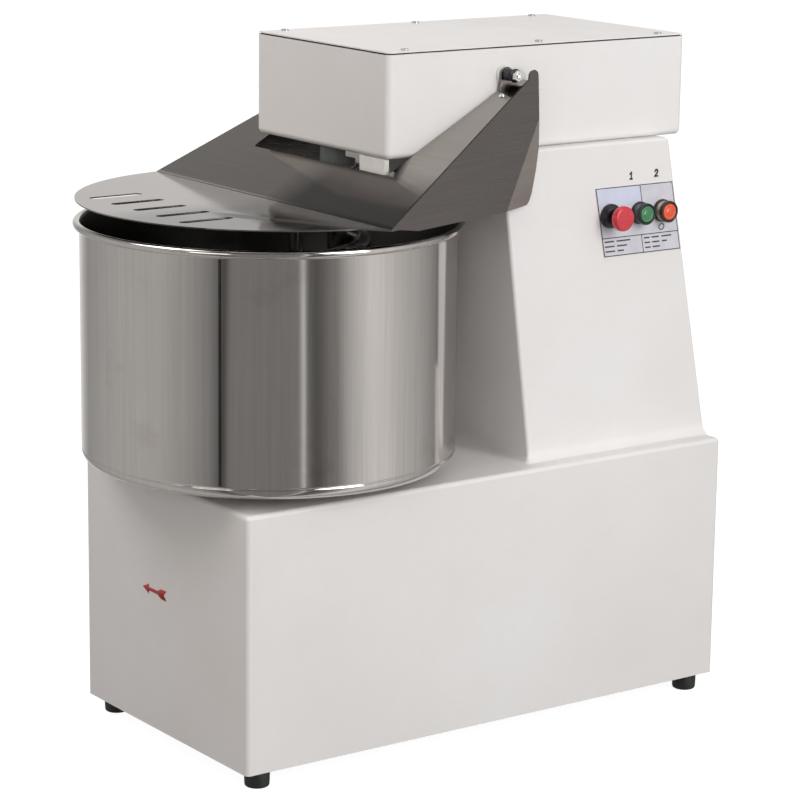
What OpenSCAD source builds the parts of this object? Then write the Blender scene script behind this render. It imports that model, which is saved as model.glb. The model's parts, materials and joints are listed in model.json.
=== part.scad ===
// Spiral dough mixer with a fixed head and a turning bowl.
// Millimetres, +Z up, the bowl end faces -Y and the control side faces +X.
// The origin lies on the floor under the middle of the machine's whole footprint.

/* [Overall] */
// Length from the bowl's front rim to the base's back
overall_l = 797; // [790:1:830]
// Sheet thickness of the painted casings
sheet = 2; // [1.5:0.5:2.5]

/* [Base] */
// Width of the base box
base_w = 368; // [360:2:390]
// Length of the base box
base_l = 712; // [700:2:720]
// Height of the base box
base_h = 311; // [305:1:320]
// Height of the rubber feet
foot_h = 22; // [18:1:30]

/* [Column] */
// Width of the column
column_w = 308; // [300:2:320]
// Depth of the column where it stands on the base
column_depth = 285; // [280:1:300]
// Forward lean of the column's front edge over its height
front_lean = 50; // [40:1:60]
// Forward lean of the column's back edge over its height
back_lean = 76; // [70:1:80]

/* [Head] */
// Width of the head box
head_w = 278; // [270:2:290]
// Length of the head box
head_l = 449; // [440:1:460]
// Height of the underside of the head
head_z = 718; // [712:1:724]
// Height of the head box without its cover
head_h = 122; // [118:1:130]

/* [Bowl] */
// Outer diameter of the bowl
bowl_d = 450; // [440:2:452]
// Height of the bowl
bowl_h = 293; // [285:1:298]
// Height of the bowl's underside
bowl_z = 350; // [348:1:354]
// Thickness of the bowl's wall
bowl_wall = 2; // [1.5:0.5:2.5]

/* [Spiral] */
// Distance from the bowl's axis back to the spiral's axis
spiral_offset = 109; // [105:1:112]
// Radius of the helix at the middle of its bar
helix_r = 88; // [80:1:90]
// Diameter of the spiral's bar
helix_bar_d = 22; // [18:1:24]

/* [Guard] */
// Half width of the guard at its fold
guard_half_w = 255; // [252:1:262]
// Height of the guard's flat plate
guard_z = 661; // [658:1:664]
// Slope of the guard's rising plate
guard_slope = 28.9; // [28:0.1:29.5]
// Height of the guard's hinge
hinge_z = 809; // [806:1:812]

/* [Controls] */
// Height of the row of buttons
button_z = 628; // [600:1:640]
// Travel of the two push buttons
button_travel = 3; // [2:0.5:3.5]
// Travel of the stop mushroom
estop_travel = 4; // [3:0.5:5]

/* [Hidden] */
$fn = 72;
fit = 0.05;
gap = 0.4;

base_top = foot_h + base_h;
back_y = overall_l / 2;
base_front = back_y - base_l;
rim_r = bowl_d / 2 + 9;
bowl_y = rim_r - overall_l / 2;
bowl_top = bowl_z + bowl_h;
column_front = back_y - column_depth;
column_back_top = back_y - back_lean;
column_front_top = column_front - front_lean;
column_side = column_w / 2;
head_back = back_y - 43;
head_front = head_back - head_l;
head_side = head_w / 2;
head_top = head_z + head_h;
seal_h = 1.5;
cover_z = head_top + seal_h;

spiral_y = bowl_y + spiral_offset;
chain_pitch_head = 12.7;
main_y = spiral_y + 19 * chain_pitch_head;
head_teeth = 14;
bowl_teeth = 88;
drive_teeth = 12;
chain_pitch_bowl = 9.525;
head_chain_z = 786;
bowl_chain_z = 120;

module_out = 2;
module_in = 1.5;
out_teeth = 68;
pinion_teeth = 17;
lay_teeth = 63;
motor_teeth = 18;
lay_angle = 45;
motor_angle = 130;
lay_x = module_out * (out_teeth + pinion_teeth) / 2 * cos(lay_angle);
lay_y = main_y + module_out * (out_teeth + pinion_teeth) / 2 * sin(lay_angle);
motor_x = lay_x + module_in * (lay_teeth + motor_teeth) / 2 * cos(motor_angle);
motor_y = lay_y + module_in * (lay_teeth + motor_teeth) / 2 * sin(motor_angle);
gearbox_z = 440;
gearbox_h = 90;

plate_x = 130;
plate_t = 6;
cross_w = 2 * plate_x - plate_t;
hub_plate_back = 68;

bowl_shaft_r = 20;
spiral_shaft_r = 17.5;
main_shaft_r = 15;
main_end_r = 10;
layshaft_r = 10;
motor_shaft_r = 10;

hinge_y = 75.5;
hinge_pin_r = 6;
guard_t = 1.5;
fold_y = bowl_y - 1;
arm_clear = 3.5;
arm_end_w = 168;
arm_len = 292;
weld = 0.4;

estop_y = 230.5;
start_y = 277.5;
stop_y = 313.5;
label_t = 0.8;

gland_y = 330;
gland_z = 90;

painted = [0.88, 0.87, 0.85];
steel = [0.72, 0.72, 0.72];
dark = [0.12, 0.12, 0.13];
iron = [0.45, 0.46, 0.48];

// ---------- shared shapes ----------

// A rectangle with round corners, centred
module round_rect(w, l, r) {
    square([w - 2 * r, l], center = true);
    square([w, l - 2 * r], center = true);
    for (x = [-1, 1], y = [-1, 1])
        translate([x * (w / 2 - r), y * (l / 2 - r)]) circle(r = r);
}

// A box with round vertical edges, standing on z = 0
module round_box(w, l, h, r) {
    linear_extrude(h) round_rect(w, l, r);
}

// A ring standing on z = 0
module ring(r_out, r_in, h) {
    difference() {
        cylinder(r = r_out, h = h);
        translate([0, 0, -1]) cylinder(r = r_in, h = h + 2);
    }
}

// A ball bearing as one solid with a groove between its races
module bearing(r_out, r_in, h) {
    mid = (r_out + r_in) / 2;
    rotate_extrude() difference() {
        translate([r_in, 0]) square([r_out - r_in, h]);
        translate([mid - 2, h - 1.5]) square([4, 3]);
        translate([mid - 2, -1.5]) square([4, 3]);
    }
}

// Outline of a toothed wheel: half widths are shares of the tooth pitch
function tooth_points(n, r_tip, r_root, tip_share, root_share) =
    [for (i = [0:n - 1], k = [0:3])
        let (share = [-root_share, -tip_share, tip_share, root_share][k],
            r = [r_root, r_tip, r_tip, r_root][k],
            a = 360 / n * (i + share))
        [r * cos(a), r * sin(a)]];

// A spur gear with a tooth centred on local +X
module gear(m, n, h, bore_r) {
    difference() {
        linear_extrude(h) polygon(tooth_points(n, m * (n / 2 + 0.8), m * (n / 2 - 1.3), 0.11, 0.29));
        translate([0, 0, -1]) cylinder(r = bore_r, h = h + 2);
    }
}

function pitch_r(p, n) = p / 2 / sin(180 / n);

// A chain wheel with its tooth tips inside the rollers
module chain_wheel(p, n, roller_r, h, bore_r) {
    tip = pitch_r(p, n) - roller_r - gap;
    difference() {
        translate([0, 0, -h / 2]) linear_extrude(h)
            polygon(tooth_points(n, tip, tip - p * 0.35, 0.1, 0.3));
        translate([0, 0, -h]) cylinder(r = bore_r, h = 2 * h);
    }
}

// Outline round two circles whose centres lie d apart along +Y
module loop_outline(r1, r2, d) {
    a = asin((r2 - r1) / d);
    circle(r = r1);
    translate([0, d]) circle(r = r2);
    polygon([
        [r1 * cos(a), -r1 * sin(a)],
        [r2 * cos(a), d - r2 * sin(a)],
        [-r2 * cos(a), d - r2 * sin(a)],
        [-r1 * cos(a), -r1 * sin(a)]]);
}

// Point at distance s along the loop, from its first tangent point
function loop_point(s, r1, r2, d) =
    let (a = asin((r2 - r1) / d),
        run = d * cos(a),
        arc2 = (180 + 2 * a) * PI / 180 * r2)
    s < run ? [r1 * cos(a) + (r2 - r1) * cos(a) * s / run,
        -r1 * sin(a) + (d - (r2 - r1) * sin(a)) * s / run]
    : s < run + arc2 ? let (t = -a + (s - run) / r2 * 180 / PI)
        [r2 * cos(t), d + r2 * sin(t)]
    : s < 2 * run + arc2 ? let (u = (s - run - arc2) / run)
        [-r2 * cos(a) + (r2 - r1) * cos(a) * u,
            d - r2 * sin(a) - (d - (r2 - r1) * sin(a)) * u]
    : let (t = 180 + a + (s - 2 * run - arc2) / r1 * 180 / PI)
        [r1 * cos(t), r1 * sin(t)];

// A roller chain: two side strips and a row of rollers
module chain(p, n1, n2, d, roller_r, plate_w, inner_h) {
    r1 = pitch_r(p, n1);
    r2 = pitch_r(p, n2);
    a = asin((r2 - r1) / d);
    length = 2 * d * cos(a) + (180 + 2 * a) * PI / 180 * r2 + (180 - 2 * a) * PI / 180 * r1;
    links = round(length / p);
    for (z = [-inner_h / 2 - 1.2, inner_h / 2])
        translate([0, 0, z]) linear_extrude(1.2) difference() {
            loop_outline(r1 + plate_w, r2 + plate_w, d);
            loop_outline(r1 - plate_w, r2 - plate_w, d);
        }
    for (i = [0:links - 1])
        translate(loop_point(i * length / links, r1, r2, d))
            cylinder(r = roller_r, h = inner_h, center = true, $fn = 24);
}

// A pan-head screw along -Z whose head sits on z = 0
module screw(shank_r, length, head_r, head_h) {
    translate([0, 0, -length]) cylinder(r = shank_r, h = length, $fn = 24);
    difference() {
        cylinder(r = head_r, h = head_h, $fn = 24);
        translate([0, 0, head_h - 1]) cube([head_r * 1.4, 0.9, 2.2], center = true);
        translate([0, 0, head_h - 1]) cube([0.9, head_r * 1.4, 2.2], center = true);
    }
}

// Children placed on the column's right side at y, z with local +Z pointing out
module on_side(y, z) {
    translate([column_side, y, z]) rotate([0, 90, 0]) children();
}

// Children placed at each foot
module at_feet() {
    for (x = [-1, 1], y = [base_front + 28, back_y - 28])
        translate([x * (base_w / 2 - 22), y, 0]) children();
}

// Children placed on the base's left wall with local +Z pointing out
module at_gland() {
    translate([-base_w / 2, gland_y, gland_z]) rotate([0, -90, 0]) children();
}

// ---------- base ----------

module base_shell() {
    color(painted) difference() {
        translate([0, back_y - base_l / 2, foot_h]) difference() {
            round_box(base_w, base_l, base_h, 5);
            translate([0, 0, -1])
                round_box(base_w - 2 * sheet, base_l - 2 * sheet, base_h - sheet + 1, 3);
        }
        translate([0, bowl_y, base_top - 5]) cylinder(r = 50, h = 10);
        translate([-plate_x - 6, column_front + 16, base_top - 5])
            cube([2 * plate_x + 12, column_depth - 25, 10]);
        at_gland() translate([0, 0, -10]) cylinder(r = 10.2, h = 20);
    }
}

module base_floor() {
    color(iron) difference() {
        translate([0, back_y - base_l / 2, foot_h])
            round_box(base_w - 2 * sheet, base_l - 2 * sheet, 4, 3);
        at_feet() cylinder(r = 4.2, h = 40);
        for (i = [-3:3])
            translate([i * 22, base_front + 130, foot_h - 1]) round_box(8, 90, 6, 3.9);
    }
}

module rubber_feet() {
    color(dark) at_feet() rotate_extrude() difference() {
        union() {
            translate([0, 3]) square([15, foot_h - 3]);
            square([12, 4]);
            translate([12, 3]) circle(r = 3);
        }
        translate([-8, 6]) square([12.2, 40]);
        translate([-20, -10]) square([20, 60]);
    }
}

module foot_bolts() {
    color(steel) at_feet() {
        translate([0, 0, 8]) cylinder(r = 4, h = foot_h - 4, $fn = 24);
        translate([0, 0, foot_h + 4]) cylinder(r = 7, h = 5, $fn = 6);
    }
}

// ---------- inner frame ----------

module chassis_outline() {
    difference() {
        polygon([[hub_plate_back, foot_h + 4], [back_y - 12, foot_h + 4], [back_y - 12, base_top - 4],
            [column_back_top - 10, head_z - 4], [column_back_top - 10, head_z + 2],
            [head_back - 10, head_z + 2], [head_back - 10, head_z + 46],
            [head_front + 8, head_z + 46], [head_front + 8, head_z + 2],
            [column_front_top + 20, head_z + 2], [column_front_top + 20, head_z - 4],
            [column_front + 20, base_top - 4], [hub_plate_back, base_top - 4]]);
        translate([main_y + 60, 180]) circle(r = 70);
        translate([main_y - 30, 600]) circle(r = 32);
        translate([estop_y - 17, button_z - 23]) square([200, 46]);
        translate([gland_y, gland_z]) circle(r = 12);
    }
}

module chassis_plates() {
    color(iron) for (x = [-plate_x - plate_t / 2, plate_x - plate_t / 2])
        translate([x, 0, 0]) rotate([90, 0, 90]) linear_extrude(plate_t) chassis_outline();
}

module hub_plate() {
    color(iron) difference() {
        translate([-base_w / 2 + 8, base_front + 8, base_top - sheet - 8])
            cube([base_w - 16, hub_plate_back - base_front - 8, 8]);
        translate([0, bowl_y, base_top - 20]) cylinder(r = 48.2, h = 30);
        at_hub_bolts() cylinder(r = bolt_r + 0.3, h = 30, $fn = 24);
    }
}

module lower_crossmember() {
    color(iron) difference() {
        union() {
            translate([-cross_w / 2, main_y - 50, 60]) cube([cross_w, 100, 8]);
            translate([0, main_y, 68]) cylinder(r = 34, h = 22);
        }
        translate([0, main_y, 72]) cylinder(r = 26, h = 30);
        translate([0, main_y, 50]) cylinder(r = 20, h = 30);
    }
}

module gearbox_shelf() {
    color(iron) difference() {
        translate([-cross_w / 2, column_front + 4, gearbox_z - 8])
            cube([cross_w, back_y - 30 - column_front, 8]);
        translate([0, main_y, gearbox_z - 20]) cylinder(r = 34, h = 40);
        translate([motor_x, motor_y, gearbox_z - 20]) cylinder(r = 24, h = 40);
    }
}

module head_plate() {
    color(iron) difference() {
        union() {
            translate([-cross_w / 2, head_front + 3, head_z + 6])
                cube([cross_w, head_l - 19, 8]);
            translate([0, main_y, head_z + 14]) cylinder(r = 33, h = 16);
        }
        translate([0, spiral_y, head_z]) cylinder(r = 31.2, h = 40);
        at_spiral_flange() translate([0, 0, -30]) cylinder(r = bolt_r + 0.3, h = 60, $fn = 24);
        translate([0, main_y, head_z]) cylinder(r = 20, h = 40);
        translate([0, main_y, head_z + 14]) cylinder(r = 26, h = 40);
    }
}

// ---------- column ----------

module column_outline(inset, bottom, top) {
    slope_f = front_lean / (head_z - base_top);
    slope_b = back_lean / (head_z - base_top);
    polygon([
        [column_front + inset - slope_f * (bottom - base_top), bottom],
        [back_y - inset - slope_b * (bottom - base_top), bottom],
        [back_y - inset - slope_b * (top - base_top), top],
        [column_front + inset - slope_f * (top - base_top), top]]);
}

// Children placed on the column's sloping back, centred at height z
module on_back(z) {
    lean = atan(back_lean / (head_z - base_top));
    y = back_y - back_lean * (z - base_top) / (head_z - base_top);
    translate([0, y, z]) rotate([lean, 0, 0]) rotate([-90, 0, 0]) children();
}

panel_w = 236;
panel_l = 300;
panel_mid_z = 530;

module column_shell() {
    color(painted) difference() {
        rotate([90, 0, 90]) translate([0, 0, -column_side])
            linear_extrude(column_w) column_outline(0, base_top, head_z);
        rotate([90, 0, 90]) translate([0, 0, -column_side + sheet])
            linear_extrude(column_w - 2 * sheet) column_outline(sheet, base_top - 5, head_z + 5);
        on_back(panel_mid_z) translate([0, 0, -10])
            linear_extrude(20) square([panel_w - 30, panel_l - 30], center = true);
        for (x = [-1, 1], y = [-1, 1]) on_back(panel_mid_z)
            translate([x * (panel_w / 2 - 8), y * (panel_l / 2 - 8), -10])
                cylinder(r = 2.1, h = 20, $fn = 24);
        for (y = [estop_y, start_y, stop_y]) on_side(y, button_z)
            translate([0, 0, -10]) cylinder(r = 11.2, h = 20);
    }
}

module rear_panel() {
    color(painted) on_back(panel_mid_z) difference() {
        round_box(panel_w, panel_l, 1.5, 6);
        for (x = [-1, 1], y = [-1, 1])
            translate([x * (panel_w / 2 - 8), y * (panel_l / 2 - 8), -1])
                cylinder(r = 2.1, h = 4, $fn = 24);
        for (i = [-4:4]) translate([0, 60 + i * 11, -1]) round_box(130, 4, 4, 1.9);
    }
}

module rear_panel_screws() {
    color(steel) for (x = [-1, 1], y = [-1, 1]) on_back(panel_mid_z)
        translate([x * (panel_w / 2 - 8), y * (panel_l / 2 - 8), 1.5]) screw(2, 9, 4.5, 2);
}

// ---------- head ----------

screw_ys = [head_front + 33, head_front + 230, head_back - 33];

module at_cover_screws() {
    for (x = [-1, 1], y = screw_ys) translate([x * (head_side - 13), y, 0]) children();
}

module head_shell() {
    color(painted) difference() {
        union() {
            translate([0, head_back - head_l / 2, head_z]) difference() {
                round_box(head_w, head_l, head_h, 6);
                translate([0, 0, sheet])
                    round_box(head_w - 2 * sheet, head_l - 2 * sheet, head_h, 4);
            }
            for (x = [-1, 1], y = screw_ys)
                translate([x * (head_side - 10) - 9, y - 9, head_top - 14]) cube([18, 18, 14]);
        }
        at_cover_screws() translate([0, 0, head_top - 12]) cylinder(r = 2.1, h = 20, $fn = 24);
        translate([0, spiral_y, head_z - 5]) cylinder(r = 33.2, h = 10);
        translate([-plate_x - 6, column_front_top + 14, head_z - 5])
            cube([2 * plate_x + 12, column_back_top - column_front_top - 22, 10]);
        translate([-head_side - 5, hinge_y, hinge_z]) rotate([0, 90, 0])
            cylinder(r = 9, h = head_w + 10);
        at_breaker_flange() translate([0, 0, -5])
            cylinder(r = bolt_r + 0.3, h = 20, $fn = 24);
    }
}

module cover_outline(inset) {
    round_rect(head_w - 2 * inset, head_l - 2 * inset, 6);
}

module cover_seal() {
    color(dark) translate([0, head_back - head_l / 2, head_top]) difference() {
        linear_extrude(seal_h) difference() {
            cover_outline(2.5);
            cover_outline(25);
        }
        translate([0, -head_back + head_l / 2, -5]) at_cover_screws()
            cylinder(r = 2.1, h = 20, $fn = 24);
    }
}

module top_cover() {
    color(painted) difference() {
        translate([0, head_back - head_l / 2, cover_z]) linear_extrude(1.5) cover_outline(1);
        at_cover_screws() translate([0, 0, cover_z - 5]) cylinder(r = 2.1, h = 10, $fn = 24);
    }
}

module cover_screws() {
    color(steel) at_cover_screws() translate([0, 0, cover_z + 1.5]) screw(2, 12, 4.5, 1.8);
}

// ---------- bolts ----------

bolt_r = 3;

// Children placed at the bolts of the bowl's bearing housing, on top of the hub plate
module at_hub_bolts() {
    for (a = [45:90:315]) translate([0, bowl_y, base_top - sheet - 18]) rotate(a)
        translate([64, 0, 0]) children();
}

// Children placed on top of the spiral's bearing flange
module at_spiral_flange() {
    for (a = [0:90:180]) translate([0, spiral_y, head_z + 22]) rotate(a)
        translate([43, 0, 0]) children();
}

// Children placed under the breaker bar's flange holes, on the head's underside
module at_breaker_flange() {
    for (x = [-1, 1]) translate([breaker_x + x * 14.5, head_front + 26, head_z]) children();
}

// A hex-head bolt along -Z whose head sits on z = 0
module bolt(length) {
    translate([0, 0, -length]) cylinder(r = bolt_r, h = length, $fn = 24);
    cylinder(r = 5.5, h = 4, $fn = 6);
}

module frame_bolts() {
    color(steel) {
        at_hub_bolts() mirror([0, 0, 1]) bolt(16);
        at_spiral_flange() bolt(16);
        at_breaker_flange() translate([0, 0, sheet]) bolt(9);
    }
}

// ---------- bowl drive ----------

hub_top = base_top + 3;

module bowl_bearing_housing() {
    color(iron) difference() {
        translate([0, bowl_y, 0]) rotate_extrude() difference() {
            union() {
                translate([20, 205]) square([28, hub_top - 205]);
                translate([20, base_top - sheet - 18]) square([56, 10]);
            }
            translate([-1, 200]) square([41, hub_top - 216]);
            translate([-1, 200]) square([35, 200]);
        }
        at_hub_bolts() translate([0, 0, -10]) cylinder(r = bolt_r + 0.3, h = 30, $fn = 24);
    }
}

module bowl_bearings() {
    color(steel) for (z = [206, hub_top - 34]) translate([0, bowl_y, z])
        bearing(40, bowl_shaft_r + fit, 18);
}

module shaft_seals() {
    color(dark) {
        translate([0, bowl_y, hub_top - 10]) ring(34, bowl_shaft_r + gap, 9);
        translate([0, spiral_y, head_z - 21.5]) ring(23, spiral_shaft_r + gap, 6);
    }
}

module bowl_outline() {
    r = bowl_d / 2;
    c = 16;
    square([r - c, bowl_wall]);
    intersection() {
        translate([r - c, c]) difference() {
            circle(r = c);
            circle(r = c - bowl_wall);
        }
        translate([r - c, 0]) square([c, c]);
    }
    translate([r - bowl_wall, c]) square([bowl_wall, bowl_h - c - 4]);
    translate([r + 3, bowl_h - 6]) difference() {
        circle(r = 6);
        circle(r = 4.5);
        translate([-7, -7]) square([3, 7]);
    }
}

module bowl() {
    color(steel) translate([0, bowl_y, bowl_z]) rotate_extrude($fn = 120) bowl_outline();
}

module bowl_base_plate() {
    color(iron) translate([0, bowl_y, 0]) {
        translate([0, 0, bowl_z - 8]) cylinder(r = 100, h = 8);
        translate([0, 0, hub_top + 1.5]) ring(32, bowl_shaft_r, bowl_z - 8 - hub_top - 1.5);
    }
}

module bowl_shaft() {
    color(steel) translate([0, bowl_y, 104]) cylinder(r = bowl_shaft_r, h = bowl_z - 8 - 104);
}

module bowl_sprocket() {
    color(iron) translate([0, bowl_y, bowl_chain_z]) {
        difference() {
            chain_wheel(chain_pitch_bowl, bowl_teeth, 3.2, 5, bowl_shaft_r);
            for (a = [0:60:300]) rotate(a) translate([82, 0, -5]) cylinder(r = 24, h = 10);
        }
        for (z = [-14, 2.5]) translate([0, 0, z]) ring(34, bowl_shaft_r, 11.5);
    }
}

// ---------- spiral and breaker bar ----------

module spiral_bearing_housing() {
    color(iron) difference() {
        translate([0, spiral_y, 0]) rotate_extrude() difference() {
            union() {
                translate([18, head_z - 22]) square([13, 80]);
                translate([18, head_z + 14]) square([34, 8]);
            }
            translate([-1, head_z - 15]) square([29, 90]);
            translate([-1, head_z - 30]) square([24, 90]);
        }
        at_spiral_flange() translate([0, 0, -30]) cylinder(r = bolt_r + 0.3, h = 60, $fn = 24);
        translate([-60, spiral_y - 66, head_z + 10]) cube([120, 34, 16]);
    }
}

module spiral_bearings() {
    color(steel) for (z = [head_z - 15, head_z + 43]) translate([0, spiral_y, z])
        bearing(28, spiral_shaft_r + fit, 15);
}

module spiral_shaft() {
    color(steel) translate([0, spiral_y, 0]) {
        translate([0, 0, 655]) cylinder(r = spiral_shaft_r, h = 142);
        translate([0, 0, 797]) cylinder(r = 9, h = 10);
        translate([0, 0, 797]) cylinder(r = 15, h = 7, $fn = 6);
    }
}

module spiral_sprocket() {
    color(iron) translate([0, spiral_y, head_chain_z]) {
        chain_wheel(chain_pitch_head, head_teeth, 4.2, 7, spiral_shaft_r);
        translate([0, 0, -6.5]) ring(22, spiral_shaft_r, 3);
    }
}

helix_turns = 1.35;
helix_low = bowl_z + bowl_wall + 8 + helix_bar_d / 2;
helix_high = 590;

// Middle line of the spiral's bar: out of the hub, then round and down
function helix_point(t) =
    t < 0.2 ? let (u = t / 0.2)
        [helix_r * sin(90 * u) * cos(60 * u * u), -helix_r * sin(90 * u) * sin(60 * u * u),
            helix_high + 22 * cos(90 * u)]
    : let (u = (t - 0.2) / 0.8, a = -60 - 360 * helix_turns * u,
            inward = max(0, (u - 0.86) / 0.14), r = helix_r * (1 - 0.55 * inward * inward))
        [r * cos(a), r * sin(a), helix_high - (helix_high - helix_low) * min(1, u / 0.93)];

function unit(v) = v / norm(v);

// A round bar swept along a list of points, none of its steps vertical
module swept_bar(points, r, sides) {
    n = len(points);
    rings = [for (i = [0:n - 1])
        let (d = unit(points[min(i + 1, n - 1)] - points[max(i - 1, 0)]),
            side = unit(cross([0, 0, 1], d)),
            up = cross(d, side))
        for (k = [0:sides - 1])
            points[i] + r * cos(360 / sides * k) * side + r * sin(360 / sides * k) * up];
    walls = [for (i = [0:n - 2], k = [0:sides - 1], half = [0, 1])
        let (j = (k + 1) % sides, a = i * sides, b = (i + 1) * sides)
        half == 0 ? [a + k, b + k, b + j] : [a + k, b + j, a + j]];
    polyhedron(points = rings, convexity = 10, faces = concat(
        [[for (k = [0:sides - 1]) k]],
        walls,
        [[for (k = [sides - 1:-1:0]) (n - 1) * sides + k]]));
}

module spiral_tool() {
    steps = 56;
    color(steel) translate([0, spiral_y, 0]) {
        swept_bar([for (i = [0:steps]) helix_point(i / steps)], helix_bar_d / 2, 12);
        translate([0, 0, helix_high + 4]) cylinder(r = 22, h = 655 - helix_high - 4);
    }
}

breaker_x = 52;
breaker_y = bowl_y + 2;
breaker_r = 9;
breaker_low = bowl_z + bowl_wall + 12;
knee_z = 640;
shoulder_z = 694;

module breaker_bar() {
    flange_y = head_front + 26;
    run = [0, flange_y - breaker_y, shoulder_z - knee_z];
    color(steel) translate([breaker_x, 0, 0]) difference() {
        union() {
            translate([0, breaker_y, breaker_low]) cylinder(r = breaker_r, h = knee_z - breaker_low);
            translate([0, breaker_y, knee_z]) sphere(r = breaker_r + 0.7);
            translate([0, breaker_y, knee_z]) rotate([-atan(run[1] / run[2]), 0, 0])
                cylinder(r = breaker_r, h = norm(run));
            translate([0, flange_y, shoulder_z]) sphere(r = breaker_r + 0.7);
            translate([0, flange_y, shoulder_z]) cylinder(r = breaker_r, h = head_z - shoulder_z);
            translate([0, flange_y, head_z - 8]) round_box(40, 26, 8, 5);
        }
        translate([-breaker_x, 0, 0]) at_breaker_flange() translate([0, 0, -10])
            cylinder(r = bolt_r + 0.3, h = 20, $fn = 24);
    }
}

// ---------- main shaft, gears and motor ----------

module main_shaft() {
    color(steel) translate([0, main_y, 73]) {
        cylinder(r = main_end_r, h = 62);
        translate([0, 0, 62]) cylinder(r = main_shaft_r, h = 662);
        translate([0, 0, 724]) cylinder(r = 12, h = 7, $fn = 6);
    }
}

module main_shaft_bearings() {
    color(steel) {
        translate([0, main_y, 72]) bearing(26, main_end_r + fit, 16);
        for (z = [gearbox_z + 3, gearbox_z + gearbox_h - 15])
            translate([0, main_y, z]) bearing(26, main_shaft_r + fit, 12);
        translate([0, main_y, head_z + 14]) bearing(26, main_shaft_r + fit, 14);
    }
}

module output_gear() {
    color(steel) translate([0, main_y, gearbox_z + 46]) {
        rotate(lay_angle) difference() {
            gear(module_out, out_teeth, 20, main_shaft_r);
            for (a = [0:72:288]) rotate(a) translate([42, 0, -1]) cylinder(r = 13, h = 22);
        }
    }
}

module bowl_drive_sprocket() {
    color(iron) translate([0, main_y, bowl_chain_z])
        chain_wheel(chain_pitch_bowl, drive_teeth, 3.1, 5, main_end_r);
}

module head_drive_sprocket() {
    color(iron) translate([0, main_y, head_chain_z]) {
        chain_wheel(chain_pitch_head, head_teeth, 4.2, 7, main_shaft_r);
        translate([0, 0, -6.5]) ring(20, main_shaft_r, 3);
    }
}

module head_chain() {
    color(steel) translate([0, spiral_y, head_chain_z])
        chain(chain_pitch_head, head_teeth, head_teeth, main_y - spiral_y, 4.2, 5.4, 7.8);
}

module bowl_chain() {
    color(steel) translate([0, main_y, bowl_chain_z]) rotate(180)
        chain(chain_pitch_bowl, drive_teeth, bowl_teeth, main_y - bowl_y, 3.1, 3.9, 5.8);
}

gearbox_x0 = -78;
gearbox_x1 = 117;
gearbox_y0 = main_y - 78;
gearbox_y1 = motor_y + 25;
cover_h = 8;

module gearbox_block(inset, z, h) {
    translate([(gearbox_x0 + gearbox_x1) / 2, (gearbox_y0 + gearbox_y1) / 2, z])
        round_box(gearbox_x1 - gearbox_x0 - 2 * inset, gearbox_y1 - gearbox_y0 - 2 * inset, h, 14);
}

module gearbox_housing() {
    color(iron) difference() {
        gearbox_block(0, gearbox_z, gearbox_h - cover_h);
        difference() {
            gearbox_block(5, gearbox_z + 5, gearbox_h);
            translate([0, main_y, gearbox_z]) cylinder(r = 32, h = 15);
            translate([lay_x, lay_y, gearbox_z]) cylinder(r = 23, h = 13);
        }
        translate([0, main_y, gearbox_z + 3]) cylinder(r = 26, h = 30);
        translate([0, main_y, gearbox_z - 5]) cylinder(r = 18, h = 30);
        translate([lay_x, lay_y, gearbox_z + 3]) cylinder(r = 17.5, h = 30);
        translate([motor_x, motor_y, gearbox_z - 5]) cylinder(r = 15, h = 30);
    }
}

module gearbox_cover() {
    z = gearbox_z + gearbox_h - cover_h;
    color(iron) difference() {
        union() {
            gearbox_block(0, z, cover_h);
            translate([0, main_y, z - 7]) cylinder(r = 32, h = cover_h + 7);
            translate([lay_x, lay_y, z - 5]) cylinder(r = 23, h = cover_h + 5);
        }
        translate([0, main_y, z - 7 - 5]) cylinder(r = 26, h = 17);
        translate([0, main_y, z - 12]) cylinder(r = 18, h = 40);
        translate([lay_x, lay_y, z - 5 - 5]) cylinder(r = 17.5, h = 15);
    }
}

module small_bearings() {
    color(steel) {
        for (z = [gearbox_z + 3, gearbox_z + gearbox_h - 13])
            translate([lay_x, lay_y, z]) bearing(17.5, layshaft_r + fit, 10);
        for (z = [motor_low + 1, motor_top - 12])
            translate([motor_x, motor_y, z]) bearing(17.5, motor_shaft_r + fit, 10);
    }
}

module layshaft() {
    color(steel) translate([lay_x, lay_y, 0]) {
        translate([0, 0, gearbox_z + 3.5]) cylinder(r = layshaft_r, h = gearbox_h - 8);
        translate([0, 0, gearbox_z + 22]) rotate(motor_angle)
            gear(module_in, lay_teeth, 14, layshaft_r - 1);
        translate([0, 0, gearbox_z + 44]) rotate(lay_angle + 180 + 180 / pinion_teeth)
            gear(module_out, pinion_teeth, 24, layshaft_r - 1);
    }
}

motor_r = 60;
motor_low = 205;
motor_top = gearbox_z - 8;

module motor_housing() {
    color(iron) translate([motor_x, motor_y, 0]) difference() {
        union() {
            translate([0, 0, motor_low]) cylinder(r = motor_r - 5, h = motor_top - motor_low - 8);
            translate([0, 0, motor_top - 10]) cylinder(r = motor_r, h = 10);
            for (a = [0:15:345]) rotate(a) translate([motor_r - 8, -1, motor_low + 10])
                cube([8, 2, motor_top - motor_low - 30]);
            translate([-motor_r - 22, -24, 300]) cube([34, 48, 60]);
        }
        translate([0, 0, motor_low + 10]) cylinder(r = motor_r - 10, h = motor_top - motor_low - 24);
        translate([0, 0, motor_low - 5]) cylinder(r = 17.5, h = 20);
        translate([0, 0, motor_top - 20]) cylinder(r = 17.5, h = 30);
    }
}

module motor_stator() {
    color("peru") translate([motor_x, motor_y, 245]) ring(motor_r - 10, 34, 120);
}

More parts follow.
